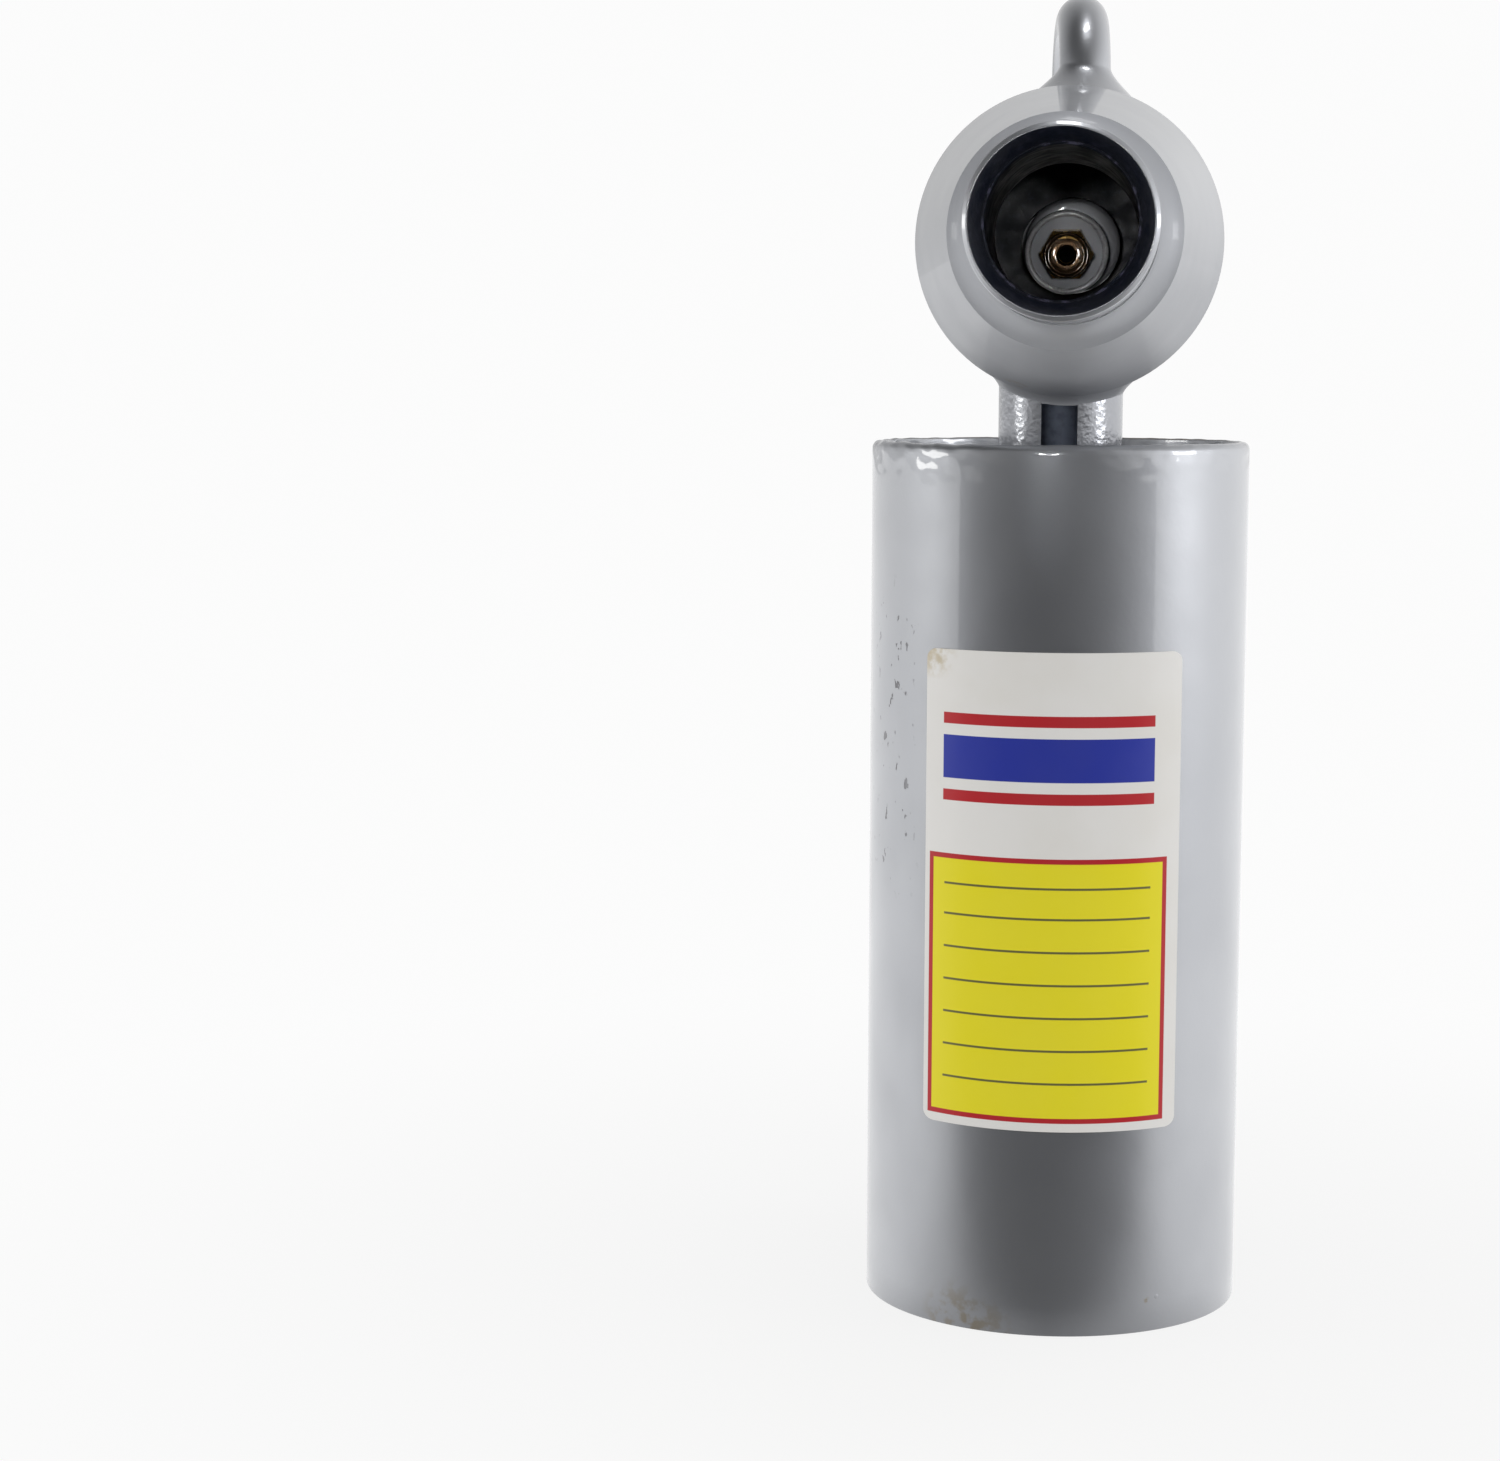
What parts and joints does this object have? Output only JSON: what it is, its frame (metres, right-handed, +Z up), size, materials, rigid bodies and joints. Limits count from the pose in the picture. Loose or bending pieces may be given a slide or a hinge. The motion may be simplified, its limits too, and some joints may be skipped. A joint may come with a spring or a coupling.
{
  "type": "petrol blowlamp",
  "caption": "Petrol blowlamp: upright cylindrical tank, slotted neck, coned burner with a looped vapour pipe, needle valve with handwheel, and a filler cap with a safety valve.",
  "frame": {"origin": "the tank's axis on the face that the lamp stands on", "axes": "+Z up; the mouth of the flame tube faces -Y; +X to the right seen from in front of the mouth"},
  "size_m": [0.076, 0.1943, 0.2645],
  "materials": {
    "grey_enamel": "gloss enamel with orange peel",
    "bare_steel": "bare, a little oxidised",
    "brass": "turned",
    "copper": "dull copper",
    "graphite": "graphited cord",
    "rubber": "petrol-proof rubber",
    "cotton": "twisted cotton",
    "phenolic": "moulded black phenolic",
    "sticker": "printed film"
  },
  "bodies": {
    "lamp": {"tank_shell": "grey_enamel", "tank_bottom_plate": "grey_enamel", "tank_top_plate": "grey_enamel", "label": "sticker", "neck_sleeve": "grey_enamel", "riser_pipe": "bare_steel", "wick": "cotton", "drum_shell": "grey_enamel", "jacket_liner": "bare_steel", "jacket_front_ring": "bare_steel", "rear_plate": "grey_enamel", "front_cone": "grey_enamel", "tube_collar": "grey_enamel", "flame_tube": "grey_enamel", "vapour_pipe": "grey_enamel", "front_pipe_boss": "grey_enamel", "rear_pipe_boss": "grey_enamel", "valve_body": "grey_enamel", "jet": "brass", "jet_washer": "copper", "gland_packing": "graphite", "gland_nut": "brass", "filler_bung": "grey_enamel"},
    "needle": {"valve_needle": "bare_steel"},
    "wheel": {"valve_spindle": "bare_steel", "handwheel": "phenolic", "wheel_washer": "bare_steel", "wheel_nut": "bare_steel"},
    "cap_seal": {"filler_gasket": "rubber"},
    "cap_seat": {"relief_seat": "bare_steel"},
    "cap": {"filler_cap": "brass", "relief_screw": "brass", "relief_spring": "bare_steel"},
    "relief_valve": {"relief_pad": "rubber"}
  },
  "joints": [
    {"name": "needle_travel", "type": "slide", "parent": "lamp", "child": "needle", "axis": [0, 0.9903, 0.1392], "range_m": [0, 0.0025]},
    {"name": "valve_turn", "type": "hinge", "parent": "needle", "child": "wheel", "pos_m": [0.0007, 0.07837, 0.22315], "axis": [0, 0.9903, 0.1392], "range_deg": [0, 900]},
    {"name": "cap_lift_off", "type": "slide", "parent": "lamp", "child": "cap_seal", "axis": [0, 0.8192, 0.5736], "range_m": [0, 0.045]},
    {"name": "cap_rise", "type": "slide", "parent": "cap_seal", "child": "cap_seat", "axis": [0, 0.8192, 0.5736], "range_m": [0, 0.0075]},
    {"name": "cap_turn", "type": "hinge", "parent": "cap_seat", "child": "cap", "pos_m": [0, 0.05356, 0.1459], "axis": [0, 0.8192, 0.5736], "range_deg": [0, 1800]},
    {"name": "relief_lift", "type": "slide", "parent": "cap", "child": "relief_valve", "axis": [0, 0.8192, 0.5736], "range_m": [0, 0.0015], "stiffness_N_per_m": 1500, "springref_m": -0.002, "deforming": ["relief_spring"]}
  ],
  "couplings": [
    {"joint": "needle_travel", "follows": "valve_turn", "m_per_rad": 0.00015915},
    {"joint": "cap_rise", "follows": "cap_turn", "m_per_rad": 0.00023873}
  ]
}
